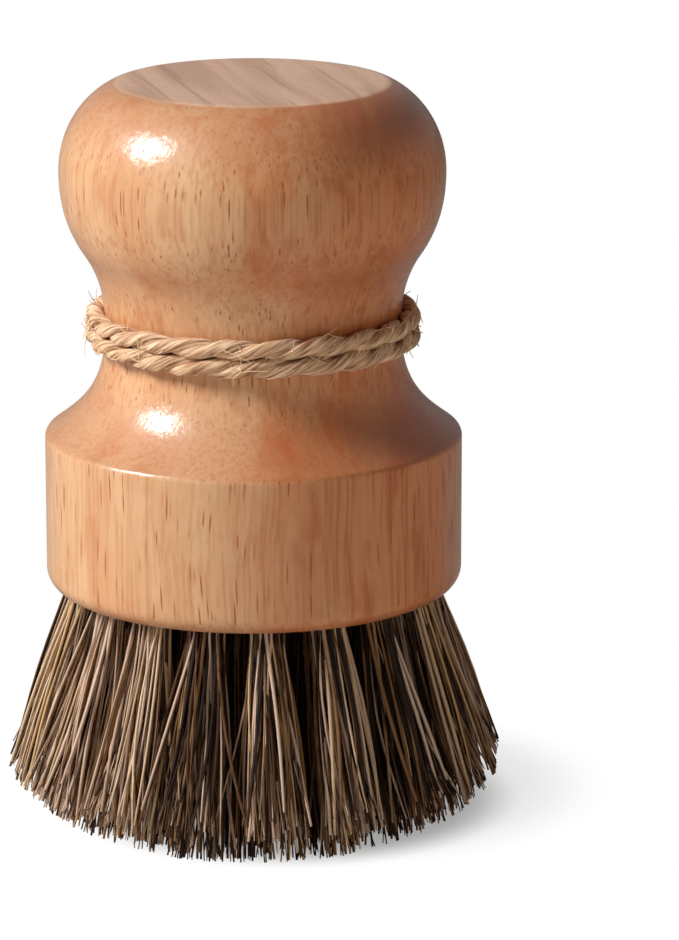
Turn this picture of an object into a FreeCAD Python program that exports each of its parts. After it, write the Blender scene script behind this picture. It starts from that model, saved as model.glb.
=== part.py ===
# Palm brush standing on its fibre tips: a turned wooden handle with a round knob, tufts of plant
# fibre folded over flat wire anchors in drilled holes, and twine tied twice round the neck.
# Millimetres, +Z up, the origin on the floor under the middle of the handle, +Y to the back.
import FreeCAD, Part
import math
import os

from FreeCAD import Vector

# Overall sizes
handle_height = 58.42  # underside of the base to the flat top
knob_diameter = 43.94  # widest part of the knob
fibre_length = 27.94  # underside of the base to the longest tips
fibre_spread = 56.39  # widest circle that the tips reach

# Turned handle
base_diameter = 47.8
neck_diameter = 33.8
top_flat_diameter = 30.8
base_edge_radius = 2.2  # rounding of the base's lower edge

# Stations of the turned outline: heights as shares of the handle's height, and how far out the
# flare under the knob is steepest, between the neck's radius and the knob's
shoulder_height_share = 0.307
neck_height_share = 0.521
flare_height_share = 0.668
knob_height_share = 0.827
flare_width_share = 0.465

# Slopes of the outline away from upright, in degrees, and how strongly each curve keeps to the
# slopes at its two ends, as shares of the curve's chord
shoulder_slope = -55.3
flare_slope = 34.5
crown_slope = -71.0
shoulder_pull_shares = (0.39, 0.47)
flare_pull_shares = (0.38, 0.34)
knob_pull_shares = (0.34, 0.38)
crown_pull_shares = (0.41, 0.31)

# Drilled holes for the tufts
hole_diameter = 4.2
hole_depth = 10.0  # along the hole, down to the drill's point
hole_wall_share = 0.33  # least wood between two holes, as a share of a hole's diameter
hole_edge_margin = 0.2  # flat wood left between the outer holes and the rounded edge
drill_point_angle = 118.0
first_hole_angle = -6.0  # turn of the rings about the handle, in degrees
holes_per_ring_step = 6  # each ring has this many more holes than the ring inside it

# Fibre tufts
tuft_clearance = 0.05  # between a tuft and the wall of its hole
tuft_gap = 0.15  # between neighbouring tufts at the floor
tip_edge_rise = 5.4  # how far the outermost tips end above the floor
tip_flat_share = 0.45  # part of the spread whose tips reach the floor

# Flat wire anchors
anchor_height = 1.8
anchor_thickness = 0.5
anchor_bite = 0.25  # how far each end of an anchor cuts into the wood

# Twine round the neck
twine_diameter = 2.0
twine_clearance = 0.55  # between the twine and the narrowest part of the neck
turn_gap = 0.45  # between one turn and the next
turns = 2
spans_per_turn = 4
end_run_share = 2.1  # straight run at each end, as a share of the twine's diameter

# Knot at the back of the neck, its sizes as shares of the twine's diameter
knot_loop_share = 0.65
knot_cord_share = 0.48
knot_entry_share = 0.2
strand_end_share = 0.42
tail_share = 0.42
tail_length = 8.0
tail_side_share = 0.45  # direction of a cut end: sideways, outwards and down
tail_out_share = 0.25
tail_drop_share = 0.86

# Worked out from the sizes above
underside = fibre_length
base_radius = base_diameter / 2
knob_radius = knob_diameter / 2
neck_radius = neck_diameter / 2
top_flat_radius = top_flat_diameter / 2
spread_radius = fibre_spread / 2
neck_level = underside + handle_height * neck_height_share

hole_radius = hole_diameter / 2
root_radius = hole_radius - tuft_clearance
outer_ring_radius = base_radius - base_edge_radius - hole_edge_margin - hole_radius
ring_count = int(outer_ring_radius / (hole_diameter * (1 + hole_wall_share)))
ring_pitch = outer_ring_radius / ring_count

# The tufts fan out from one point on the handle's axis: fan is how much a ring grows per unit of
# height, so that the outermost fibres just reach the spread and neighbours keep their gap
root_gap = ring_pitch - 2 * root_radius
edge_slope = (spread_radius - outer_ring_radius - root_radius) / (fibre_length - tip_edge_rise)
fan = (edge_slope - (root_gap - tuft_gap) / (2 * fibre_length)) / (outer_ring_radius + ring_pitch / 2)
tuft_flare = edge_slope - fan * outer_ring_radius

twine_radius = twine_diameter / 2
winding_radius = neck_radius + twine_clearance + twine_radius
turn_pitch = twine_diameter + turn_gap
end_run = twine_diameter * end_run_share
knot_loop_radius = twine_diameter * knot_loop_share
knot_cord_radius = twine_diameter * knot_cord_share
knot_radius = winding_radius + twine_radius + turn_gap + knot_loop_radius + knot_cord_radius
knot_centre = Vector(0, knot_radius, neck_level)

up = Vector(0, 0, 1)
axis_foot = Vector(0, 0, 0)
full_turn = 360.0
half_quarter = math.radians(full_turn / 8)  # to the middle of a quarter arc
points_per_turn = 240  # for measuring the winding


def line(start, end):
    return Part.LineSegment(start, end).toShape()


def at(radius, height):
    """A point of the turned outline, height above the underside."""
    return Vector(radius, 0, underside + height)


def leaning(slope):
    """The upward direction at a slope away from upright, in degrees."""
    return Vector(math.sin(math.radians(slope)), 0, math.cos(math.radians(slope)))


def outline_curve(start, start_slope, end, end_slope, pull_shares):
    """A smooth curve of the outline that leaves and arrives at the given slopes."""
    chord = start.distanceToPoint(end)
    start_pull, end_pull = pull_shares
    bezier = Part.BezierCurve()
    bezier.setPoles([
        start,
        start + leaning(start_slope) * (chord * start_pull),
        end - leaning(end_slope) * (chord * end_pull),
        end,
    ])
    return bezier.toShape()


def revolved(edges):
    return Part.Face(Part.Wire(edges)).revolve(axis_foot, up, full_turn)


def turned_blank():
    """The handle as it leaves the lathe, before drilling."""
    foot = at(0, 0)
    flat_edge = at(base_radius - base_edge_radius, 0)
    rounding_middle = at(
        base_radius - base_edge_radius * (1 - math.cos(half_quarter)),
        base_edge_radius * (1 - math.sin(half_quarter)),
    )
    side_foot = at(base_radius, base_edge_radius)
    shoulder = at(base_radius, handle_height * shoulder_height_share)
    neck = at(neck_radius, handle_height * neck_height_share)
    flare = at(
        neck_radius + (knob_radius - neck_radius) * flare_width_share,
        handle_height * flare_height_share,
    )
    knob = at(knob_radius, handle_height * knob_height_share)
    top_edge = at(top_flat_radius, handle_height)
    top = at(0, handle_height)
    return revolved([
        line(foot, flat_edge),
        Part.Arc(flat_edge, rounding_middle, side_foot).toShape(),
        line(side_foot, shoulder),
        outline_curve(shoulder, shoulder_slope, neck, 0, shoulder_pull_shares),
        outline_curve(neck, 0, flare, flare_slope, flare_pull_shares),
        outline_curve(flare, flare_slope, knob, 0, knob_pull_shares),
        outline_curve(knob, 0, top_edge, crown_slope, crown_pull_shares),
        line(top_edge, top),
        line(top, foot),
    ])


def tilted_to_ring(shape, ring_radius):
    """Moves a shape made on the axis, with its hole's mouth at height 0, to the first hole of a ring."""
    placed = shape.copy()
    tilt = -math.degrees(math.atan(fan * ring_radius))
    placed.rotate(axis_foot, Vector(0, 1, 0), tilt)
    placed.translate(Vector(ring_radius, 0, underside))
    return placed


def hole_cutter():
    """A drilled hole: a cylinder that starts below the wood and ends in the drill's point."""
    point_height = hole_radius / math.tan(math.radians(drill_point_angle / 2))
    start = Vector(0, 0, -hole_diameter)
    start_rim = Vector(hole_radius, 0, -hole_diameter)
    end_rim = Vector(hole_radius, 0, hole_depth)
    point = Vector(0, 0, hole_depth + point_height)
    return revolved([
        line(start, start_rim),
        line(start_rim, end_rim),
        line(end_rim, point),
        line(point, start),
    ])


def tuft_blank(ring_radius):
    """A bundle of fibre, rounded where it is folded, that widens evenly once it is out of the wood."""
    reach = fibre_length * (1 + fan * ring_radius) + hole_diameter
    fold = Vector(0, 0, hole_depth)
    fold_middle = Vector(
        root_radius * math.sin(half_quarter),
        0,
        hole_depth - root_radius * (1 - math.cos(half_quarter)),
    )
    fold_side = Vector(root_radius, 0, hole_depth - root_radius)
    flare_start = Vector(root_radius, 0, -root_radius)
    tip_rim = Vector(root_radius + tuft_flare * (reach - root_radius), 0, -reach)
    tip = Vector(0, 0, -reach)
    return revolved([
        Part.Arc(fold, fold_middle, fold_side).toShape(),
        line(fold_side, flare_start),
        line(flare_start, tip_rim),
        line(tip_rim, tip),
        line(tip, fold),
    ])


def anchor_blank():
    """A flat piece of wire across the hole, under the fold of its tuft."""
    width = hole_diameter + 2 * anchor_bite
    corner = Vector(-anchor_thickness / 2, -width / 2, hole_depth - root_radius - anchor_height)
    return Part.makeBox(anchor_thickness, width, anchor_height, corner)


def trimmed_brush():
    """The space that the trimmed fibres fill: flat on the floor, and rising in an arc to the edge."""
    flat_radius = spread_radius * tip_flat_share
    run = spread_radius - flat_radius
    arc_radius = (run ** 2 + tip_edge_rise ** 2) / (2 * tip_edge_rise)
    half_arc = math.atan(tip_edge_rise / run)
    middle = Vector(flat_radius + arc_radius * math.sin(half_arc), 0, arc_radius * (1 - math.cos(half_arc)))
    floor_edge = Vector(flat_radius, 0, 0)
    rim = Vector(spread_radius, 0, tip_edge_rise)
    upper_rim = Vector(spread_radius, 0, underside + handle_height)
    top = Vector(0, 0, underside + handle_height)
    return revolved([
        line(axis_foot, floor_edge),
        Part.Arc(floor_edge, middle, rim).toShape(),
        line(rim, upper_rim),
        line(upper_rim, top),
        line(top, axis_foot),
    ])


def arc_middle(start, way, end):
    """The middle of the arc that leaves start in the given direction and reaches end."""
    chord = end - start
    chord_way = chord * (1 / chord.Length)
    aside = way - chord_way * way.dot(chord_way)
    aside.normalize()
    bulge = chord.Length / 2 * math.tan(math.acos(way.dot(chord_way)) / 2)
    return (start + end) * 0.5 + aside * bulge


def biarc(start, start_way, end, end_way):
    """Two arcs that join smoothly and leave and arrive in the given directions."""
    chord = end - start
    spread = 2 * (1 - start_way.dot(end_way))
    along = chord.dot(start_way + end_way)
    reach = (math.sqrt(along ** 2 + spread * chord.dot(chord)) - along) / spread
    joint = (start + end + (start_way - end_way) * reach) * 0.5
    first = Part.Arc(start, arc_middle(start, start_way, joint), joint)
    second = Part.Arc(joint, arc_middle(end, end_way * -1, joint), end)
    return [first.toShape(), second.toShape()]


def winding_point(angle):
    """A point of the twine's centre line, angle in radians from the back of the neck."""
    height = neck_level + turn_pitch * (turns / 2 - angle / (2 * math.pi))
    return Vector(winding_radius * math.sin(angle), winding_radius * math.cos(angle), height)


def winding_way(angle):
    way = Vector(
        winding_radius * math.cos(angle),
        -winding_radius * math.sin(angle),
        -turn_pitch / (2 * math.pi),
    )
    way.normalize()
    return way


def winding_path():
    """Straight end, two turns of biarcs, straight end; with the two end points and their directions."""
    leave_angle = math.acos(winding_radius / knot_radius)
    last_angle = 2 * math.pi * turns - leave_angle
    span_count = turns * spans_per_turn
    angles = [leave_angle + (last_angle - leave_angle) * i / span_count for i in range(span_count + 1)]
    start_way = winding_way(angles[0])
    end_way = winding_way(angles[-1])
    start = winding_point(angles[0]) - start_way * end_run
    end = winding_point(angles[-1]) + end_way * end_run
    edges = [line(start, winding_point(angles[0]))]
    for here, there in zip(angles, angles[1:]):
        edges += biarc(winding_point(here), winding_way(here), winding_point(there), winding_way(there))
    edges.append(line(winding_point(angles[-1]), end))
    return Part.Wire(edges), (start, start_way), (end, end_way)


def twine_winding(path, start, start_way):
    section = Part.Wire(Part.Circle(start, start_way, twine_radius).toShape())
    return path.makePipeShell([section], True, False)


def print_winding_check(path, winding):
    """Prints the least gap from the winding to itself, and its volume against section times length."""
    points = path.discretize(Number=turns * points_per_turn)
    step = path.Length / (len(points) - 1)
    apart = int(math.pi * winding_radius / step)
    least = min(
        here.distanceToPoint(there)
        for i, here in enumerate(points)
        for there in points[i + apart:]
    )
    section = math.pi * twine_radius ** 2
    print("twine winding: length", round(path.Length, 2), "mm, least gap to itself",
          round(least - twine_diameter, 3), "mm, volume over section times length",
          round(winding.Volume / (section * path.Length), 5))


def strand_into_knot(end, way, entry):
    """The end of the twine from the winding's end face to the middle of the knot."""
    wide = Part.Wire(Part.Circle(end, way, twine_radius).toShape())
    narrow = Part.Wire(Part.Circle(entry, way, twine_diameter * strand_end_share).toShape())
    return Part.makeLoft([wide, narrow], True, True)


def cut_end(side):
    way = Vector(side * tail_side_share, tail_out_share, -tail_drop_share)
    return Part.makeCylinder(twine_diameter * tail_share, tail_length, knot_centre, way)


def twine_knot(start, start_way, end, end_way):
    """Both strands drawn over the middle strand, a loop pulled tight round them, and two cut ends."""
    rise = Vector(0, 0, twine_diameter * knot_entry_share)
    loop = Part.makeTorus(knot_loop_radius, knot_cord_radius, knot_centre, Vector(1, 0, 0))
    pieces = [
        strand_into_knot(start, start_way, knot_centre + rise),
        strand_into_knot(end, end_way, knot_centre - rise),
        cut_end(1),
        cut_end(-1),
    ]
    return loop.fuse(pieces).removeSplitter()


def export(shape, name):
    shape.exportStep(os.path.join("parts", name + ".step"))
    print(name, "solids", len(shape.Solids), "valid", shape.isValid(), "volume", round(shape.Volume, 3))


os.makedirs("parts", exist_ok=True)
trim = trimmed_brush()
holes = []
anchors = []
for ring in range(ring_count + 1):
    ring_radius = ring * ring_pitch
    hole = tilted_to_ring(hole_cutter(), ring_radius)
    anchor = tilted_to_ring(anchor_blank(), ring_radius)
    tuft = tilted_to_ring(tuft_blank(ring_radius), ring_radius).common(trim).cut(anchor)
    hole_count = max(1, ring * holes_per_ring_step)
    for number in range(hole_count):
        angle = first_hole_angle + full_turn * number / hole_count
        for shape, kept in ((hole, holes), (anchor, anchors)):
            placed = shape.copy()
            placed.rotate(axis_foot, up, angle)
            kept.append(placed)
        placed_tuft = tuft.copy()
        placed_tuft.rotate(axis_foot, up, angle)
        export(placed_tuft, "tuft_centre" if ring == 0 else "tuft_ring%d_%02d" % (ring, number + 1))

export(turned_blank().cut(holes + anchors), "handle")
export(Part.makeCompound(anchors), "anchors")

path, (start, start_way), (end, end_way) = winding_path()
winding = twine_winding(path, start, start_way)
print_winding_check(path, winding)
export(winding, "twine_winding")
export(twine_knot(start, start_way, end, end_way), "twine_knot")
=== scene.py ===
# Palm brush: a turned and lacquered wooden handle with a round knob, tufts of plant fibre set in its
# underside, and jute twine tied twice round its neck. Metres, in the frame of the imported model.
import math

import bmesh
import bpy
from mathutils import Euler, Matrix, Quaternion, Vector
from mathutils.geometry import interpolate_bezier


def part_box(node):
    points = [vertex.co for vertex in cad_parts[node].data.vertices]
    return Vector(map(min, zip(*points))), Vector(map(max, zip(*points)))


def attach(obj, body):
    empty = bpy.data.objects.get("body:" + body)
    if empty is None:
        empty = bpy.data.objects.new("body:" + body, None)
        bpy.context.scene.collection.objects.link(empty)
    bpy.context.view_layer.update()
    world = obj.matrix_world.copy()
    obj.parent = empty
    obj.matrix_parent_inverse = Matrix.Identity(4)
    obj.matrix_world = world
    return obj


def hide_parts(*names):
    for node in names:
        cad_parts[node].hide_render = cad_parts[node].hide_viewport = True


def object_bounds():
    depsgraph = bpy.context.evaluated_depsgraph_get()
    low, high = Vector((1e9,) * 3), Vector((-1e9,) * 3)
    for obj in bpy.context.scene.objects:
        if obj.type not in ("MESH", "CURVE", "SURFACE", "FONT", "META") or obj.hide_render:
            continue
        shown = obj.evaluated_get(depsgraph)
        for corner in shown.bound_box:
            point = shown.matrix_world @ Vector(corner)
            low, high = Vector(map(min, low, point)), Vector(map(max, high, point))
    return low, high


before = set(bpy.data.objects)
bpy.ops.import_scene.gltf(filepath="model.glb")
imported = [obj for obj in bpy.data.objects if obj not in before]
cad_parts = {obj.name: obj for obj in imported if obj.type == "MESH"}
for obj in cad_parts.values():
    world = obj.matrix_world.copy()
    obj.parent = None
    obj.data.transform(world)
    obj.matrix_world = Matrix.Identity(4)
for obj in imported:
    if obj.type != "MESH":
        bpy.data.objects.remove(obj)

cad_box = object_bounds()

# Turned handle: one block of pale, open-pored hardwood. It is turned on a lathe to a round base, a
# narrow neck and a knob with a flat top, drilled from below for the tufts and dipped in clear lacquer.
handle_low, handle_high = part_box("handle")
underside = handle_low.z
handle_height = handle_high.z - underside
base_radius = handle_high.x
knob_radius = 0.02197
neck_radius = 0.0169
top_flat_radius = 0.0154
base_edge_radius = 0.0022
shoulder_edge_softness = 0.00045
top_edge_softness = 0.0005
shoulder_height_share = 0.307
neck_height_share = 0.521
flare_height_share = 0.668
knob_height_share = 0.827
flare_width_share = 0.465  # of the way from the neck's radius to the knob's
shoulder_slope = -55.3  # slopes in degrees away from upright
flare_slope = 34.5
crown_slope = -71
shoulder_pulls = (0.39, 0.47)  # how far each end of a run holds its slope, as shares of the run
flare_pulls = (0.38, 0.34)
crown_pulls = (0.41, 0.31)
corner_pull = 0.6
lathe_steps = 192
run_points = 36
edge_steps = 8
side_steps = 12
corner_points = 8
weld_distance = 1e-7
sharp_angle = math.radians(40)

hole_radius = 0.0021
hole_depth = 0.010
hole_overrun = 0.004
hole_sides = 24
ring_count = 3
outer_ring_radius = 0.0194
ring_pitch = outer_ring_radius / ring_count
holes_per_ring_step = 6
first_hole_angle = math.radians(-6)
fan = 11.469  # growth of a ring of tufts per metre below the underside


class Wire:
    """One output in a node tree. Sums and products of wires add Math nodes to the tree."""

    def __init__(self, socket):
        self.socket = socket
        self.tree = socket.id_data

    def node(self, kind, settings=None, sockets=None, output=0):
        """Adds a node of any kind: its settings first, then the values or wires of its sockets."""
        made = self.tree.nodes.new(kind)
        for name, value in (settings or {}).items():
            if name == "stops":
                ramp = made.color_ramp.elements
                while len(ramp) < len(value):
                    ramp.new(1)
                for stop, (place, colour) in zip(ramp, value):
                    stop.position = place
                    stop.color = colour
            else:
                setattr(made, name, value)
        for name, value in (sockets or {}).items():
            found = [s for s in made.inputs if s.identifier == name] or [made.inputs[name]]
            for part in value if isinstance(value, list) else [value]:
                if isinstance(part, Wire):
                    self.tree.links.new(part.socket, found[0])
                else:
                    found[0].default_value = part
        return Wire(made.outputs[output])

    def other(self, name):
        """Another output of the node that this wire leaves."""
        return Wire(self.socket.node.outputs[name])

    def math(self, operation, *values):
        return self.node("ShaderNodeMath", {"operation": operation}, dict(enumerate(values)))

    def feeds(self, node, socket):
        self.tree.links.new(self.socket, node.inputs[socket])

    def __add__(self, other):
        return self.math("ADD", self, other)

    def __radd__(self, other):
        return self.math("ADD", other, self)

    def __sub__(self, other):
        return self.math("SUBTRACT", self, other)

    def __rsub__(self, other):
        return self.math("SUBTRACT", other, self)

    def __mul__(self, other):
        return self.math("MULTIPLY", self, other)

    def __rmul__(self, other):
        return self.math("MULTIPLY", other, self)

    def __truediv__(self, other):
        return self.math("DIVIDE", self, other)

    def __pow__(self, other):
        return self.math("POWER", self, other)


def tint(red, green, blue):
    """A colour written as 0 to 255, as it looks on a screen."""
    parts = [c / 255 for c in (red, green, blue)]
    return (*[c / 12.92 if c <= 0.04045 else ((c + 0.055) / 1.055) ** 2.4 for c in parts], 1)


def finish(name):
    """A new material, with its shader and the wire of the piece's own coordinates."""
    material = bpy.data.materials.new(name)
    material.use_nodes = True
    nodes = material.node_tree.nodes
    place = Wire(nodes.new("ShaderNodeTexCoord").outputs["Object"])
    return material, nodes["Principled BSDF"], place


def noise(place, size, stretch=(1, 1, 1), detail=2.0, roughness=0.5):
    """Smooth noise from 0 to 1 whose lumps are about size metres, drawn out along some axes."""
    scaled = place.node("ShaderNodeMapping", {}, {"Vector": place, "Scale": tuple(1 / s for s in stretch)})
    return scaled.node("ShaderNodeTexNoise", {}, {
        "Vector": scaled, "Scale": 1 / size, "Detail": detail, "Roughness": roughness})


def between(value, low, high, start=0.0, end=1.0):
    """Start where the value is at low, end where it is at high, and a smooth change between."""
    return value.node("ShaderNodeMapRange", {"interpolation_type": "SMOOTHSTEP"}, {
        "Value": value, "From Min": low, "From Max": high, "To Min": start, "To Max": end})


def mixed(share, first, second):
    """The first colour, covered by the second as far as share says."""
    return share.node("ShaderNodeMix", {"data_type": "RGBA"}, {
        "Factor_Float": share, "A_Color": first, "B_Color": second}, output=2)


def wood_finish():
    """Pale wood with short dark pores along the grain, warm patches, greyer end grain and gloss lacquer;
    redder and darker on the right side as painted shade.
    """
    material, shader, place = finish("lacquered_wood")
    pore_size = 0.0005
    pore_stretch = 17
    growth_turn = math.radians(-15)
    wander_scale = 55
    wander = (0.0018, 0.0018, 0.0)
    band_width = 0.0034
    dark_line_width = 0.0012
    patch_size = 0.008
    fleck_size = 0.0026
    line_width = 0.0005
    ripple_size = 0.0013
    heart_and_shade_edge = (-0.005, 0.012)  # across the handle, from pale wood on the left to redder, darker wood on the right: painted shade, and partly reddish heart wood
    heart_and_shade_wander = 0.02
    bump_distance = 0.0002

    drift = place.node("ShaderNodeTexNoise", {}, {
        "Vector": place, "Scale": wander_scale, "Detail": 1}, output=1)
    grain = drift.node("ShaderNodeVectorMath", {"operation": "MULTIPLY_ADD"}, {
        0: drift, 1: wander, 2: place})

    pores = grain.node("ShaderNodeMapping", {}, {"Vector": grain, "Scale": (1, 1, 1 / pore_stretch)})
    distance = pores.node("ShaderNodeTexVoronoi", {}, {"Vector": pores, "Scale": 1 / pore_size})
    drawn = distance.other("Color")
    strength = drawn.node("ShaderNodeSeparateColor", {}, {0: drawn})
    pore = between(distance, 0.13, 0.3, 1, 0) * between(strength, 0.05, 0.6)

    growth = grain.node("ShaderNodeMapping", {}, {"Vector": grain, "Rotation": (0, 0, growth_turn)})
    bands = noise(growth, band_width, (1, 12, 30), 2)
    dark_lines = noise(growth, dark_line_width, (1, 24, 40), 1)
    patches = noise(grain, patch_size, (1, 1, 3), 3)
    flecks = noise(grain, fleck_size, (1, 1, 2.6), 2)
    lines = noise(grain, line_width, (1, 1, 50), 3, 0.6)

    normal = place.node("ShaderNodeNewGeometry", output=1)
    upward = normal.node("ShaderNodeSeparateXYZ", {}, {0: normal}, output=2)
    upward = upward.math("ABSOLUTE", upward)
    end_grain = between(upward, 0.93, 0.995)

    # The right side turns redder and darker, with stronger grain lines and flecks and darker slopes: painted
    # shade, and partly reddish heart wood.
    heart_and_shade = place.node("ShaderNodeSeparateXYZ", {}, {0: place}) + (patches - 0.5) * heart_and_shade_wander
    heart_and_shade = between(heart_and_shade, *heart_and_shade_edge)
    side = mixed(between(patches, 0.4, 0.7), tint(226, 178, 132), tint(216, 158, 108))
    side = mixed(heart_and_shade * 0.85, side, tint(218, 128, 69))
    # Sloped faces of the shoulder and crown darker, and much darker on the right side: painted shade.
    side = mixed(between(upward, 0.2, 0.7) * (0.32 + 0.58 * heart_and_shade), side, tint(176, 92, 46))
    side = mixed(between(bands, 0.42, 0.66) * 0.4, side, tint(206, 146, 96))
    side = mixed(between(lines, 0.44, 0.7) * (0.4 + 0.35 * heart_and_shade), side, tint(184, 104, 50))
    side = mixed(between(flecks, 0.52, 0.74) * (0.3 + 0.4 * heart_and_shade), side, tint(192, 98, 40))
    end = mixed(between(bands, 0.38, 0.62), tint(220, 167, 132), tint(245, 193, 157))
    end = mixed(between(dark_lines, 0.6, 0.7) * 0.35, end, tint(132, 84, 54))
    colour = mixed(end_grain, side, end)
    pore_share = 0.95 - 0.35 * between(upward, 0.3, 0.7) - 0.2 * end_grain
    colour = mixed(pore * pore_share, colour, tint(174, 86, 30))
    colour.feeds(shader, "Base Color")

    (0.17 + 0.3 * pore + 0.08 * patches).feeds(shader, "Roughness")
    ripple = noise(place, ripple_size, detail=2, roughness=0.6)
    relief = ripple - pore * 0.08
    bumped = relief.node("ShaderNodeBump", {}, {
        "Strength": 0.35, "Distance": bump_distance, "Height": relief})
    bumped.feeds(shader, "Normal")
    shader.inputs["Coat Weight"].default_value = 1
    shader.inputs["Coat Roughness"].default_value = 0.6
    return material


wood = wood_finish()


def outline_point(radius, height):
    return Vector((radius, 0, underside + height))


def leaning(slope):
    """The upward direction at a slope away from upright, in degrees."""
    return Vector((math.sin(math.radians(slope)), 0, math.cos(math.radians(slope))))


def outline_run(start, start_slope, end, end_slope, start_pull, end_pull):
    """Points of one smooth curve of the outline, that leaves and arrives at the given slopes."""
    chord = (end - start).length
    first = start + leaning(start_slope) * (chord * start_pull)
    second = end - leaning(end_slope) * (chord * end_pull)
    return interpolate_bezier(start, first, second, end, run_points)


def eased(before, after, softness):
    """Two runs of the outline that meet in a corner, as one run with the corner rubbed round."""
    corner = before[-1]
    before = [p for p in before if (p - corner).length > softness]
    after = [p for p in after if (p - corner).length > softness]
    start = corner + (before[-1] - corner).normalized() * softness
    end = corner + (after[0] - corner).normalized() * softness
    first, second = start.lerp(corner, corner_pull), end.lerp(corner, corner_pull)
    return before + interpolate_bezier(start, first, second, end, corner_points) + after


def turned_outline():
    """The outline of the handle from the middle of its underside up to the middle of its flat top."""
    shoulder = outline_point(base_radius, handle_height * shoulder_height_share)
    neck = outline_point(neck_radius, handle_height * neck_height_share)
    flare_radius = neck_radius + (knob_radius - neck_radius) * flare_width_share
    flare = outline_point(flare_radius, handle_height * flare_height_share)
    knob = outline_point(knob_radius, handle_height * knob_height_share)
    top_edge = outline_point(top_flat_radius, handle_height)
    lower = [outline_point(0, 0)]
    for step in range(edge_steps + 1):
        turn = math.radians(90 * step / edge_steps)
        lower.append(outline_point(
            base_radius - base_edge_radius * (1 - math.sin(turn)), base_edge_radius * (1 - math.cos(turn))))
    side_foot = lower[-1]
    lower += [side_foot.lerp(shoulder, step / side_steps) for step in range(1, side_steps + 1)]
    upper = outline_run(shoulder, shoulder_slope, neck, 0, *shoulder_pulls)
    upper += outline_run(neck, 0, flare, flare_slope, *flare_pulls)[1:]
    upper += outline_run(flare, flare_slope, knob, 0, *flare_pulls[::-1])[1:]
    upper += outline_run(knob, 0, top_edge, crown_slope, *crown_pulls)[1:]
    flat = [top_edge.lerp(outline_point(0, handle_height), share) for share in (0, 0.1, 1)]
    return eased(eased(lower, upper, shoulder_edge_softness), flat, top_edge_softness)


def turned_blank():
    """The handle as it leaves the lathe: the outline spun round the axis, with whole faces top and bottom."""
    shape = bmesh.new()
    corners = [shape.verts.new(p) for p in turned_outline()]
    edges = [shape.edges.new(pair) for pair in zip(corners, corners[1:])]
    bmesh.ops.spin(shape, geom=corners + edges, cent=(0, 0, 0), axis=(0, 0, 1), angle=2 * math.pi,
                   steps=lathe_steps, use_merge=True)
    bmesh.ops.remove_doubles(shape, verts=shape.verts, dist=weld_distance)
    bmesh.ops.recalc_face_normals(shape, faces=shape.faces)
    for pole in [v for v in shape.verts if len(v.link_faces) == lathe_steps]:
        bmesh.ops.dissolve_faces(shape, faces=list(pole.link_faces))
    blank = bpy.data.meshes.new("turned_blank")
    shape.to_mesh(blank)
    shape.free()
    return blank


def geometry_tree(name, sizes):
    """An empty tree of geometry nodes with a named input for each size: its wires by name."""
    tree = bpy.data.node_groups.new(name, "GeometryNodeTree")
    tree.interface.new_socket("Geometry", in_out="OUTPUT", socket_type="NodeSocketGeometry")
    tree.interface.new_socket("Geometry", in_out="INPUT", socket_type="NodeSocketGeometry")
    for size in sizes:
        tree.interface.new_socket(size, in_out="INPUT", socket_type="NodeSocketFloat")
    entry = tree.nodes.new("NodeGroupInput")
    return {socket.name: Wire(socket) for socket in entry.outputs}


def close_tree(geometry, material):
    """Ends a tree: one real mesh in one material. Returns the tree."""
    whole = geometry.node("GeometryNodeRealizeInstances", {}, {"Geometry": geometry})
    dressed = whole.node("GeometryNodeSetMaterial", {}, {"Geometry": whole, "Material": material})
    dressed.feeds(whole.tree.nodes.new("NodeGroupOutput"), "Geometry")
    return whole.tree


def made_by(tree, name, start, sizes):
    """A new piece: what the tree makes of the start mesh at these sizes, as a plain mesh."""
    piece = bpy.data.objects.new(name, start)
    bpy.context.scene.collection.objects.link(piece)
    maker = piece.modifiers.new(tree.name, "NODES")
    maker.node_group = tree
    inputs = {item.name: item.identifier for item in tree.interface.items_tree if item.in_out == "INPUT"}
    for size, value in sizes.items():
        maker[inputs[size]] = value
    scene_now = bpy.context.evaluated_depsgraph_get()
    mesh = bpy.data.meshes.new_from_object(
        piece.evaluated_get(scene_now), preserve_all_data_layers=True, depsgraph=scene_now)
    piece.modifiers.remove(maker)
    piece.data = mesh
    mesh.name = name
    return piece


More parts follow.
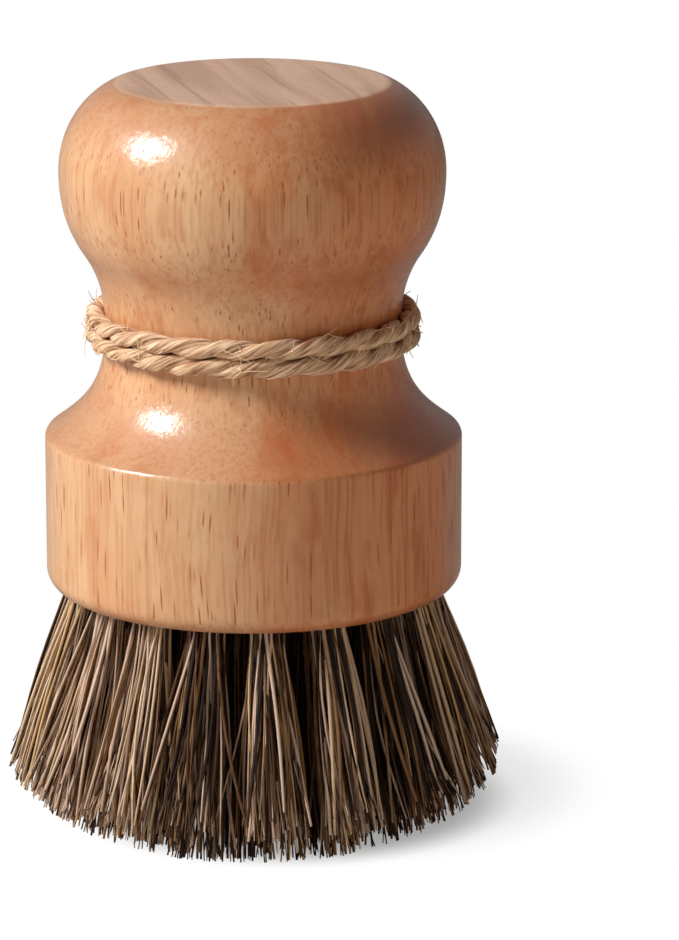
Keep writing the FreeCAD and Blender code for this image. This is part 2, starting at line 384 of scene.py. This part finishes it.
def drilling_tree():
    """Drills a centre hole and rings of holes into the underside, each ring leaning further out."""
    sizes = geometry_tree("drilled_underside", [
        "Hole Radius", "Hole Depth", "Ring Pitch", "Fan", "Underside"])
    depth = sizes["Hole Depth"] + hole_overrun
    drill = depth.node("GeometryNodeMeshCylinder", {}, {
        "Vertices": hole_sides, "Radius": sizes["Hole Radius"], "Depth": depth})
    middle = depth.node("ShaderNodeCombineXYZ", {}, {"Z": depth / 2 - hole_overrun})
    drill = drill.node("GeometryNodeTransform", {}, {"Geometry": drill, "Translation": middle})
    mouth = depth.node("ShaderNodeCombineXYZ", {}, {"Z": sizes["Underside"]})
    drills = [drill.node("GeometryNodeTransform", {}, {"Geometry": drill, "Translation": mouth})]
    for ring in range(1, ring_count + 1):
        radius = sizes["Ring Pitch"] * ring
        circle = radius.node("GeometryNodeMeshCircle", {}, {
            "Vertices": ring * holes_per_ring_step, "Radius": radius})
        circle = circle.node("GeometryNodeTransform", {}, {
            "Geometry": circle, "Translation": mouth, "Rotation": Euler((0, 0, first_hole_angle))})
        place = circle.node("GeometryNodeInputPosition")
        east = place.node("ShaderNodeSeparateXYZ", {}, {0: place}, output=0)
        north = place.node("ShaderNodeSeparateXYZ", {}, {0: place}, output=1)
        lean = 0 - radius.math("ARCTANGENT", radius * sizes["Fan"])
        turn = lean.node("ShaderNodeCombineXYZ", {}, {"Y": lean, "Z": north.math("ARCTAN2", north, east)})
        turn = turn.node("FunctionNodeEulerToRotation", {}, {0: turn})
        drills.append(circle.node("GeometryNodeInstanceOnPoints", {}, {
            "Points": circle, "Instance": drill, "Rotation": turn}))
    pattern = depth.node("GeometryNodeJoinGeometry", {}, {"Geometry": drills})
    pattern = pattern.node("GeometryNodeRealizeInstances", {}, {"Geometry": pattern})
    drilled = pattern.node("GeometryNodeMeshBoolean", {"operation": "DIFFERENCE", "solver": "EXACT"}, {
        "Mesh 1": sizes["Geometry"], "Mesh 2": pattern})
    return close_tree(drilled, wood)


handle = made_by(drilling_tree(), "turned_handle", turned_blank(), {
    "Hole Radius": hole_radius, "Hole Depth": hole_depth, "Ring Pitch": ring_pitch, "Fan": fan,
    "Underside": underside})
handle.data.shade_smooth()
handle.data.set_sharp_from_angle(angle=sharp_angle)
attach(handle, "brush")
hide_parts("handle")

# Anchors: short pieces of flat steel wire, one driven across the bottom of each hole over the fold of
# its tuft. They sit inside the wood, so the modelled wires stay and only get a drawn-steel finish.


def wire_finish():
    """Grey steel with fine lines along the drawn wire."""
    material, shader, place = finish("drawn_wire")
    line_width = 0.0002
    lines = noise(place, line_width, (1, 1, 12), 3)
    mixed(lines, tint(150, 150, 152), tint(196, 196, 198)).feeds(shader, "Base Color")
    (0.3 + 0.25 * lines).feeds(shader, "Roughness")
    shader.inputs["Metallic"].default_value = 1
    return material


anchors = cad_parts["anchors"]
anchors.data.materials.clear()
anchors.data.materials.append(wire_finish())

# Fibre tufts: stiff plant fibres, dark brown and straw-coloured mixed, folded in half and driven into
# the drilled holes. They fan out from the wood and are trimmed to a shallow dome at the tips.
root_radius = 0.00205
side_flare = 0.75  # how much wider a tuft is across its ring at the tips than at the root
out_flare = 1.3  # the same outwards from the handle's axis
sunk_length = 0.0025
spread_radius = cad_box[1].x
flat_tip_share = 0.62
flat_tip_radius = spread_radius * flat_tip_share
tip_edge_rise = 0.0054
tip_run = spread_radius - flat_tip_radius
tip_arc_radius = (tip_run ** 2 + tip_edge_rise ** 2) / (2 * tip_edge_rise)
fibre_radius = 0.00014
fibre_sides = 5
points_per_fibre = 8
locks_per_tuft = 5
fibres_in_ring = [60, 60, 100, 125]
# Darker inner rings stand as painted shade in the gaps between the outer tufts; the outer ring is paler.
paleness_and_gap_shade_in_ring = [0.7, 0.7, 0.8, 1.06]
# The outer ring's seed gives darker tufts towards the front and paler ones at the sides: partly painted
# shade.
seed_in_ring = [0, 20, 40, 140]
lock_sway = 0.0013
fibre_sway = 0.0016
bow = 0.0010
lock_unevenness = 0.0021
fibre_unevenness = 0.0024
stray_share = 0.2  # of the fibres, which sway up to three times as far
lean_power = 1.35


def fibre_finish():
    """Plant fibre from near black to pale straw by each fibre's own shade, with painted shade darkening it at
    the root.
    """
    material, shader, place = finish("plant_fibre")
    shade = place.node("ShaderNodeAttribute", {"attribute_name": "shade"}, output=2)
    along = place.node("ShaderNodeAttribute", {"attribute_name": "along"}, output=2)
    streak_width = 0.0004
    bump_distance = 0.0001
    streaks = noise(place, streak_width, (1, 1, 9), 3)
    tone = shade + (streaks - 0.5) * 0.08
    colour = tone.node("ShaderNodeValToRGB", {"stops": [
        (0.0, tint(32, 19, 11)), (0.4, tint(46, 28, 16)), (0.48, tint(88, 57, 33)),
        (0.52, tint(138, 101, 72)), (0.57, tint(126, 90, 46)), (0.63, tint(190, 156, 132)),
        (0.74, tint(218, 190, 168)), (0.82, tint(198, 160, 104)), (1.0, tint(248, 228, 210))]}, {"Fac": tone})
    # Painted shade where the fibres go into the wood.
    colour = mixed(between(along, 0.0, 0.3, 0.3, 0.0), colour, tint(24, 17, 12))
    colour = mixed(between(along, 0.75, 1.0) * 0.18, colour, tint(78, 50, 30))
    colour.feeds(shader, "Base Color")
    (0.4 + 0.25 * streaks).feeds(shader, "Roughness")
    shader.inputs["Specular IOR Level"].default_value = 0.25
    bumped = streaks.node("ShaderNodeBump", {}, {
        "Strength": 0.3, "Distance": bump_distance, "Height": streaks})
    bumped.feeds(shader, "Normal")
    return material


def fibre_ring_tree(material):
    """A ring of tufts: every fibre is a thin bent tube from inside its hole to the trimmed tips."""
    sizes = geometry_tree("fibre_ring", [
        "Ring Radius", "Tufts", "Fibres", "First Angle", "Root Radius", "Side Flare", "Out Flare", "Fan",
        "Underside", "Sunk Length", "Spread", "Flat Radius", "Tip Arc", "Fibre Radius", "Lock Sway",
        "Fibre Sway", "Bow", "Paleness And Gap Shade", "Seed"])
    ring_radius, length = sizes["Ring Radius"], sizes["Underside"]
    index = length.node("GeometryNodeInputIndex")

    def floored(value):
        return value.math("FLOOR", value)

    def positive(value):
        return value.math("MAXIMUM", value, 0)

    def chance(owner, draw, low=0.0, high=1.0):
        return owner.node("FunctionNodeRandomValue", {"data_type": "FLOAT"}, {
            "Min_001": low, "Max_001": high, "ID": owner, "Seed": sizes["Seed"] + draw}, output=1)

    fibre = floored((index + 0.5) / points_per_fibre)
    step = index - fibre * points_per_fibre
    along = step / (points_per_fibre - 1)
    tuft = floored((fibre + 0.5) / sizes["Fibres"])
    lock = tuft * locks_per_tuft + floored(chance(fibre, 1) * locks_per_tuft)
    angle = sizes["First Angle"] + tuft * (2 * math.pi) / sizes["Tufts"]

    seat = chance(fibre, 2)
    seat = seat.math("SQRT", seat) * sizes["Root Radius"]
    bearing = chance(fibre, 3, 0, 2 * math.pi)
    out_at_root = seat * bearing.math("COSINE", bearing)
    side_at_root = seat * bearing.math("SINE", bearing)

    stray = 1 + 2.0 * positive(chance(fibre, 4) - (1 - stray_share)) / stray_share
    lock_out = chance(lock, 5, -1, 1) * sizes["Lock Sway"]
    lock_side = chance(lock, 6, -1, 1) * sizes["Lock Sway"]
    sway_out = chance(fibre, 7, -1, 1) * sizes["Fibre Sway"] * stray + lock_out
    sway_side = chance(fibre, 8, -1, 1) * sizes["Fibre Sway"] * stray + lock_side
    bow_out = chance(fibre, 9, -1, 1) * sizes["Bow"]
    bow_side = chance(fibre, 10, -1, 1) * sizes["Bow"]

    ring_at_tips = ring_radius * (1 + sizes["Fan"] * length)
    out_reach = out_at_root * sizes["Out Flare"] + sway_out
    out_reach = out_reach.math("MINIMUM", out_reach, sizes["Spread"] - ring_at_tips - out_at_root)
    side_reach = side_at_root * sizes["Side Flare"] + sway_side
    tip_out, tip_side = ring_at_tips + out_at_root + out_reach, side_at_root + side_reach
    tip_radius = tip_out.math("SQRT", tip_out * tip_out + tip_side * tip_side)
    past_flat = positive(tip_radius - sizes["Flat Radius"])
    tip_arc = sizes["Tip Arc"]
    trim = tip_arc - tip_arc.math("SQRT", positive(tip_arc * tip_arc - past_flat * past_flat))
    uneven = lock_unevenness * chance(lock, 15) ** 2 + fibre_unevenness * chance(fibre, 11) ** 4
    tip_height = trim + fibre_radius + uneven

    top = length + sizes["Sunk Length"]
    height = top + (tip_height - top) * along
    below = length - height
    free = positive(below) / length
    free = free * length / (length - tip_height)
    bend = free * math.pi
    bend = bend.math("SINE", bend)
    lean = free ** lean_power
    out_reach = out_reach + ring_radius * sizes["Fan"] * tip_height
    out = out_at_root + out_reach * lean + bow_out * bend + ring_radius * (1 + sizes["Fan"] * below)
    side = side_at_root + side_reach * lean + bow_side * bend
    cosine, sine = angle.math("COSINE", angle), angle.math("SINE", angle)
    position = out.node("ShaderNodeCombineXYZ", {}, {
        "X": out * cosine - side * sine, "Y": out * sine + side * cosine, "Z": height})

    points = position.node("GeometryNodePoints", {}, {
        "Count": sizes["Tufts"] * sizes["Fibres"] * points_per_fibre, "Position": position})
    girth = sizes["Fibre Radius"] * (0.65 + 1.2 * chance(fibre, 12) ** 2) * (1 - 0.35 * along ** 6)
    shade = chance(fibre, 13) * 0.5 + chance(lock, 14) * 0.2 + chance(tuft, 16) * 0.3
    # Scaled by the ring's paleness, which darkens the inner rings as painted shade.
    shade = shade * sizes["Paleness And Gap Shade"]
    for name, value in (("shade", shade), ("along", along), ("girth", girth)):
        points = points.node("GeometryNodeStoreNamedAttribute", {"data_type": "FLOAT", "domain": "POINT"}, {
            "Geometry": points, "Name": name, "Value": value})
    lines = points.node("GeometryNodePointsToCurves", {}, {
        "Points": points, "Curve Group ID": fibre, "Weight": step})
    round_section = points.node("GeometryNodeCurvePrimitiveCircle", {}, {
        "Resolution": fibre_sides, "Radius": 1.0})
    stored = points.node("GeometryNodeInputNamedAttribute", {"data_type": "FLOAT"}, {"Name": "girth"})
    tubes = lines.node("GeometryNodeCurveToMesh", {}, {
        "Curve": lines, "Profile Curve": round_section, "Scale": stored, "Fill Caps": True})
    tubes = tubes.node("GeometryNodeSetShadeSmooth", {}, {"Geometry": tubes})
    return close_tree(tubes, material)


fibre_tree = fibre_ring_tree(fibre_finish())
ring_names = ["centre_tuft", "inner_tufts", "middle_tufts", "outer_tufts"]
for ring, name in enumerate(ring_names):
    tufts = max(1, ring * holes_per_ring_step)
    piece = made_by(fibre_tree, name, bpy.data.meshes.new(name), {
        "Ring Radius": ring * ring_pitch, "Tufts": float(tufts), "Fibres": float(fibres_in_ring[ring]),
        "First Angle": first_hole_angle, "Root Radius": root_radius, "Side Flare": side_flare,
        "Out Flare": out_flare, "Fan": fan, "Underside": underside, "Sunk Length": sunk_length,
        "Spread": spread_radius, "Flat Radius": flat_tip_radius, "Tip Arc": tip_arc_radius,
        "Fibre Radius": fibre_radius, "Lock Sway": lock_sway, "Fibre Sway": fibre_sway, "Bow": bow,
        "Paleness And Gap Shade": paleness_and_gap_shade_in_ring[ring], "Seed": float(seed_in_ring[ring])})
    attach(piece, "brush")
    if ring == 0:
        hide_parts("tuft_centre")
    else:
        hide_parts(*["tuft_ring%d_%02d" % (ring, number + 1) for number in range(tufts)])

# Twine: one length of two-ply jute, wound twice round the neck and tied at the back with a half knot
# that leaves two short cut ends. Loose hairs lie over the spun plies all along it.
neck_level = underside + handle_height * neck_height_share
winding_radius = 0.0180
turn_pitch = 0.00205
crossing_reach = math.radians(80)  # the turns change height this far to each side of the back
points_per_turn = 24
leave_angle = math.radians(36)
knot_middle = Vector((0, 0.0212, neck_level))
knot_twist_radius = 0.00112
knot_half_width = 0.0030
knot_points = 18
ply_pitch = 0.0104
ply_offset = 0.00048
ply_radius = 0.00068
ply_flatness = 1.2  # width of a ply beside the twine's middle line, compared with its height
ply_sides = 16
ply_strands = 4
strand_lay = 120  # radians per metre of twine
strand_relief_share = 0.05
swell_share = 0.08
swell_waves = (900, 370)  # radians per metre of twine
swell_shift = 2.1
knot_turns = 1.5
points_per_hair = 6
hair_sides = 3
hair_density = 270000.0
hair_face = 0.013  # least radius, times how squarely the twine faces outwards, where hairs root
hair_length = 0.0043
hair_radius = 0.000085
hair_curl = 0.0022
hair_lift = 0.0006
hair_seed = 3.0
shortest_hair_share = 0.3
hair_run_share = 0.9
hair_stand_share = 0.15
hair_spread_shares = (0.15, 0.15, 0.85)


def winding_point(angle):
    """A control point of the winding, angle from the back of the neck: the spline cuts inside it."""
    radius = winding_radius / math.cos(math.pi / points_per_turn)
    share = min(max((angle - 2 * math.pi + crossing_reach) / (2 * crossing_reach), 0), 1)
    height = neck_level + turn_pitch * (0.5 - share * share * (3 - 2 * share))
    return Vector((radius * math.sin(angle), radius * math.cos(angle), height))


def knot_point(side, step, first_turn):
    """A control point of one strand in the knot, where the two strands twist round each other."""
    share = step / (knot_points - 1)
    turn = first_turn + share * 2 * math.pi * knot_turns
    return knot_middle + Vector((
        side * knot_half_width * (1 - 2 * share),
        knot_twist_radius * math.cos(turn),
        knot_twist_radius * math.sin(turn)))


def twine_route():
    """The control points of the twine from one cut end, through the knot, twice round, and out again."""
    first_end = [knot_middle + Vector(p) for p in (
        (-0.0062, 0.0024, -0.0091), (-0.0058, 0.0026, -0.0072), (-0.0052, 0.0024, -0.0052),
        (-0.0046, 0.0018, -0.0032), (-0.0039, 0.0010, -0.0016))]
    last_end = [knot_middle + Vector(p) for p in (
        (0.0038, 0.0008, -0.0016), (0.0044, 0.0017, -0.0032), (0.0048, 0.0024, -0.0052),
        (0.0050, 0.0028, -0.0073), (0.0049, 0.0029, -0.0095))]
    first_knot = [knot_point(1, step, math.pi / 2) for step in range(knot_points)][::-1]
    last_knot = [knot_point(-1, step, math.pi / 2) for step in range(knot_points)]
    last_angle = 4 * math.pi - leave_angle
    steps = round((last_angle - leave_angle) / (2 * math.pi) * points_per_turn)
    turns = [winding_point(leave_angle + (last_angle - leave_angle) * i / steps) for i in range(steps + 1)]
    lead_in = [first_knot[-1].lerp(turns[0], share) for share in (0.3, 0.6)]
    lead_out = [turns[-1].lerp(last_knot[0], share) for share in (0.4, 0.7)]
    return first_end + first_knot + lead_in + turns + lead_out + last_knot + last_end


def read_from_spline(points):
    """The smooth line that the control points give, read from a spline with no thickness."""
    curve = bpy.data.curves.new("twine_route", "CURVE")
    curve.dimensions = "3D"
    curve.resolution_u = 8
    spline = curve.splines.new("NURBS")
    spline.points.add(len(points) - 1)
    for control, point in zip(spline.points, points):
        control.co = (*point, 1)
    spline.order_u = 3
    spline.use_endpoint_u = True
    route = bpy.data.objects.new("twine_route", curve)
    bpy.context.scene.collection.objects.link(route)
    scene_now = bpy.context.evaluated_depsgraph_get()
    line = bpy.data.meshes.new_from_object(route.evaluated_get(scene_now))
    path = [v.co.copy() for v in line.vertices]
    bpy.data.objects.remove(route)
    bpy.data.curves.remove(curve)
    return path


def twine_finish():
    """Spun jute: straw-coloured fibres that run along each ply, with painted shade in the hollows between
    them.
    """
    material, shader, place = finish("jute_twine")
    strand_scale = (14, 350, 1)
    blotch_size = 0.004
    bump_distance = 0.00025
    ply_map = place.node("ShaderNodeUVMap", {"uv_map": "ply"})
    stretched = ply_map.node("ShaderNodeMapping", {}, {"Vector": ply_map, "Scale": strand_scale})
    strands = stretched.node("ShaderNodeTexNoise", {}, {"Vector": stretched, "Scale": 1, "Detail": 4})
    blotches = noise(place, blotch_size, detail=2)
    # Dark streaks between the strands: painted shade in the hollows, and partly the fibres' own varying tone.
    colour = mixed(between(strands, 0.3, 0.7), tint(136, 78, 42), tint(252, 218, 178))
    colour = mixed(between(blotches, 0.4, 0.8) * 0.5, colour, tint(226, 178, 132))
    colour.feeds(shader, "Base Color")
    shader.inputs["Roughness"].default_value = 0.8
    shader.inputs["Sheen Weight"].default_value = 0.15
    bumped = strands.node("ShaderNodeBump", {}, {
        "Strength": 0.5, "Distance": bump_distance, "Height": strands})
    bumped.feeds(shader, "Normal")
    return material


def spun_plies(path):
    """Two round plies twisted about the path, with a map that runs round and along each ply."""
    shape = bmesh.new()
    ply_map = shape.loops.layers.uv.new("ply")
    earlier, later = [path[0]] + path[:-1], path[1:] + [path[-1]]
    ways = [(after - before).normalized() for before, after in zip(earlier, later)]
    across = ways[0].orthogonal().normalized()
    rows = {0: [], 1: []}
    travelled = 0
    for number, (point, way) in enumerate(zip(path, ways)):
        if number:
            travelled += (point - path[number - 1]).length
            across = (across - way * across.dot(way)).normalized()
        for ply in (0, 1):
            twist = math.pi * ply - 2 * math.pi * travelled / ply_pitch
            outward = Quaternion(way, twist) @ across
            beside = way.cross(outward)
            slow, fast = swell_waves[1] * travelled + ply, swell_waves[0] * travelled + swell_shift * ply
            swell = 1 + swell_share * math.sin(fast) * math.sin(slow)
            middle = point + outward * ply_offset
            ring = []
            for corner in range(ply_sides):
                turn = 2 * math.pi * corner / ply_sides
                ridge = math.cos(ply_strands * turn + strand_lay * travelled)
                reach = ply_radius * swell * (1 + strand_relief_share * ridge)
                rise, width = reach * math.cos(turn), reach * ply_flatness * math.sin(turn)
                ring.append(shape.verts.new(middle + outward * rise + beside * width))
            rows[ply].append((travelled, ring))
    for rings in rows.values():
        for (start, ring), (end, following) in zip(rings, rings[1:]):
            for corner in range(ply_sides):
                after = (corner + 1) % ply_sides
                face = shape.faces.new((ring[corner], ring[after], following[after], following[corner]))
                face.smooth = True
                spots = ((corner, start), (corner + 1, start), (corner + 1, end), (corner, end))
                for loop, (around, run) in zip(face.loops, spots):
                    loop[ply_map].uv = (around / ply_sides, run)
        shape.faces.new(rings[0][1][::-1])
        shape.faces.new(rings[-1][1])
    bmesh.ops.recalc_face_normals(shape, faces=shape.faces)
    mesh = bpy.data.meshes.new("jute_twine")
    shape.to_mesh(mesh)
    shape.free()
    return mesh


def hair_finish():
    """A single loose jute fibre, straw-coloured."""
    material, shader, place = finish("jute_hair")
    blotch_size = 0.002
    colour = mixed(noise(place, blotch_size), tint(236, 186, 124), tint(255, 234, 196))
    colour.feeds(shader, "Base Color")
    shader.inputs["Roughness"].default_value = 0.6
    return material


def hair_tree(material):
    """Loose fibres that lie round the outside of the twine and lift off at their tips: thin bent tubes."""
    sizes = geometry_tree("twine_hairs", [
        "Density", "Outer Face", "Hair Length", "Hair Radius", "Curl", "Lift", "Seed"])
    plies = sizes["Geometry"]
    place = plies.node("GeometryNodeInputPosition")
    level = place.node("ShaderNodeVectorMath", {"operation": "MULTIPLY"}, {0: place, 1: (1, 1, 0)})
    facing = place.node("GeometryNodeInputNormal")
    away = level.node("ShaderNodeVectorMath", {"operation": "DOT_PRODUCT"}, {0: level, 1: facing}, output=1)
    roots = plies.node("GeometryNodeDistributePointsOnFaces", {"distribute_method": "RANDOM"}, {
        "Mesh": plies, "Selection": away.math("GREATER_THAN", away, sizes["Outer Face"]),
        "Density": sizes["Density"], "Seed": sizes["Seed"]})
    hair = roots.node("GeometryNodeInputIndex")

    def chance(draw, low, high):
        return hair.node("FunctionNodeRandomValue", {"data_type": "FLOAT_VECTOR"}, {
            "Min": (low,) * 3, "Max": (high,) * 3, "ID": hair, "Seed": sizes["Seed"] + draw})

    def scaled(vector, share):
        return vector.node("ShaderNodeVectorMath", {"operation": "SCALE"}, {0: vector, "Scale": share})

    def summed(first, second):
        return first.node("ShaderNodeVectorMath", {"operation": "ADD"}, {0: first, 1: second})

    run = level.node("ShaderNodeVectorMath", {"operation": "CROSS_PRODUCT"}, {0: level, 1: (0, 0, 1)})
    run = run.node("ShaderNodeVectorMath", {"operation": "NORMALIZE"}, {0: run})
    side = chance(4, -1, 1)
    side = side.node("ShaderNodeSeparateXYZ", {}, {0: side})
    run = scaled(run, hair_run_share * side.math("SIGN", side))
    spread = chance(1, -1, 1)
    spread = spread.node("ShaderNodeVectorMath", {"operation": "MULTIPLY"}, {
        0: spread, 1: hair_spread_shares})
    way = summed(summed(scaled(roots.other("Normal"), hair_stand_share), run), spread)
    way = way.node("ShaderNodeVectorMath", {"operation": "NORMALIZE"}, {0: way})
    draw = chance(2, 0, 1)
    share = draw.node("ShaderNodeSeparateXYZ", {}, {0: draw})
    girdle = level.node("ShaderNodeVectorMath", {"operation": "LENGTH"}, {0: level}, output=1)
    share = shortest_hair_share + (1 - shortest_hair_share) * share ** 2
    stored = {
        "hair": ("FLOAT", hair),
        "girdle": ("FLOAT", girdle),
        "reach": ("FLOAT_VECTOR", scaled(way, sizes["Hair Length"] * share)),
        "bend": ("FLOAT_VECTOR", scaled(chance(3, -1, 1), sizes["Curl"]))}
    for name, (kind, value) in stored.items():
        roots = roots.node("GeometryNodeStoreNamedAttribute", {"data_type": kind, "domain": "POINT"}, {
            "Geometry": roots, "Name": name, "Value": value})
    chain = roots.node("GeometryNodeDuplicateElements", {"domain": "POINT"}, {
        "Geometry": roots, "Amount": points_per_hair})
    step = chain.other("Duplicate Index")
    chain = chain.node("GeometryNodeStoreNamedAttribute", {"data_type": "FLOAT", "domain": "POINT"}, {
        "Geometry": chain, "Name": "step", "Value": step})

    def kept(name, kind):
        return chain.node("GeometryNodeInputNamedAttribute", {"data_type": kind}, {"Name": name})

    along = kept("step", "FLOAT") / (points_per_hair - 1)
    straight = scaled(kept("reach", "FLOAT_VECTOR"), along)
    offset = summed(straight, scaled(kept("bend", "FLOAT_VECTOR"), along * along))
    laid = summed(place, offset)
    upright = laid.node("ShaderNodeVectorMath", {"operation": "MULTIPLY"}, {0: laid, 1: (0, 0, 1)})
    laid = laid.node("ShaderNodeVectorMath", {"operation": "MULTIPLY"}, {0: laid, 1: (1, 1, 0)})
    laid = laid.node("ShaderNodeVectorMath", {"operation": "NORMALIZE"}, {0: laid})
    laid = scaled(laid, kept("girdle", "FLOAT") + sizes["Lift"] * along)
    chain = chain.node("GeometryNodeSetPosition", {}, {"Geometry": chain, "Position": summed(laid, upright)})
    lines = chain.node("GeometryNodePointsToCurves", {}, {
        "Points": chain, "Curve Group ID": kept("hair", "FLOAT"), "Weight": kept("step", "FLOAT")})
    round_section = lines.node("GeometryNodeCurvePrimitiveCircle", {}, {
        "Resolution": hair_sides, "Radius": sizes["Hair Radius"]})
    tubes = lines.node("GeometryNodeCurveToMesh", {}, {
        "Curve": lines, "Profile Curve": round_section, "Scale": 1 - 0.5 * along, "Fill Caps": True})
    tubes = tubes.node("GeometryNodeSetShadeSmooth", {}, {"Geometry": tubes})
    return close_tree(tubes, material)


twine_path = read_from_spline(twine_route())
jute = twine_finish()
twine = bpy.data.objects.new("jute_twine", spun_plies(twine_path))
twine.data.materials.append(jute)
bpy.context.scene.collection.objects.link(twine)
hairs = made_by(hair_tree(hair_finish()), "twine_hairs", twine.data, {
    "Density": hair_density, "Outer Face": hair_face, "Hair Length": hair_length, "Hair Radius": hair_radius,
    "Curl": hair_curl, "Lift": hair_lift, "Seed": hair_seed})
for piece in (twine, hairs):
    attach(piece, "twine")
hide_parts("twine_winding", "twine_knot")

# Stage: a pale floor that shows white and keeps a soft shadow, a white background, a soft lamp on the left
# and a weak warm one in front on the right, and the camera at the height and distance of the picture.
floor_reach = 3
shadow_middle = (0.012, 0.010, 0)
shadow_zone = (0.018, 0.031)  # distances from the middle between which the floor's own glow takes over
contact_middle = (0.004, 0.006, 0)
contact_zone = (0.0205, 0.028)
aim = Vector((0, 0, 0.045))
camera_place = (0, -0.5707, 0.1894)
camera_tilt = math.radians(90 - 14.57)
camera_turn = math.radians(-0.989)
camera_focal_length = 196.4
camera_sensor_width = 36

floor_shape = bmesh.new()
bmesh.ops.create_grid(floor_shape, x_segments=1, y_segments=1, size=floor_reach)
floor_mesh = bpy.data.meshes.new("floor")
floor_shape.to_mesh(floor_mesh)
floor_shape.free()
floor = bpy.data.objects.new("floor", floor_mesh)
bpy.context.scene.collection.objects.link(floor)

floor_white, floor_shader, floor_place = finish("pale_floor")
floor_shader.inputs["Roughness"].default_value = 0.8
glow = floor_place.node("ShaderNodeEmission", {}, {"Color": (1, 1, 1, 1), "Strength": 1.0})
seen = floor_place.node("ShaderNodeLightPath")
pale = mixed(seen.other("Is Glossy Ray"), (0.9, 0.84, 0.77, 1), (0.36, 0.34, 0.31, 1))
pale.feeds(floor_shader, "Base Color")
away = floor_place.node("ShaderNodeVectorMath", {"operation": "DISTANCE"}, {
    0: floor_place, 1: shadow_middle}, output=1)
lit = Wire(floor_shader.outputs[0])
near = floor_place.node("ShaderNodeVectorMath", {"operation": "DISTANCE"}, {
    0: floor_place, 1: contact_middle}, output=1)
white = seen * between(away, *shadow_zone, 0.78, 1.0) * between(near, *contact_zone, 0.45, 1.0)
shown = seen.node("ShaderNodeMixShader", {}, {0: white, 1: lit, 2: glow})
shown.feeds(floor_white.node_tree.nodes["Material Output"], "Surface")
floor.data.materials.append(floor_white)

world = bpy.data.worlds.new("studio")
bpy.context.scene.world = world
world.use_nodes = True
backdrop = world.node_tree.nodes["Background"]
rays = Wire(world.node_tree.nodes.new("ShaderNodeLightPath").outputs["Is Camera Ray"])
backdrop.inputs["Color"].default_value = (1, 1, 1, 1)
(0.04 + 0.96 * rays + 0.2 * rays.other("Is Glossy Ray")).feeds(backdrop, "Strength")


def soft_lamp(name, azimuth, elevation, distance, size, power, colour=(1, 1, 1)):
    """A round soft lamp that faces the brush: azimuth from the camera's side, positive to the right."""
    lamp = bpy.data.lights.new(name, "AREA")
    lamp.shape = "ELLIPSE"
    lamp.size, lamp.size_y = size
    lamp.energy = power
    lamp.color = colour
    turn, rise = math.radians(azimuth), math.radians(elevation)
    towards = Vector((math.sin(turn) * math.cos(rise), -math.cos(turn) * math.cos(rise), math.sin(rise)))
    holder = bpy.data.objects.new(name, lamp)
    holder.location = aim + towards * distance
    holder.rotation_euler = (-towards).to_track_quat("-Z", "Y").to_euler()
    bpy.context.scene.collection.objects.link(holder)
    return holder


soft_lamp("key_lamp", azimuth=-78, elevation=38, distance=1.2, size=(0.46, 0.46), power=18.2)
fill_lamp = soft_lamp(
    "fill_lamp", azimuth=40, elevation=8, distance=1.5, size=(1, 1), power=3.6, colour=(1, 0.88, 0.76))
fill_lamp.visible_glossy = False

camera_lens = bpy.data.cameras.new("camera")
camera_lens.sensor_width = camera_sensor_width
camera_lens.lens = camera_focal_length
camera = bpy.data.objects.new("camera", camera_lens)
camera.location = camera_place
camera.rotation_euler = (camera_tilt, 0, camera_turn)
bpy.context.scene.collection.objects.link(camera)
bpy.context.scene.camera = camera
bpy.context.scene.view_settings.view_transform = "Standard"
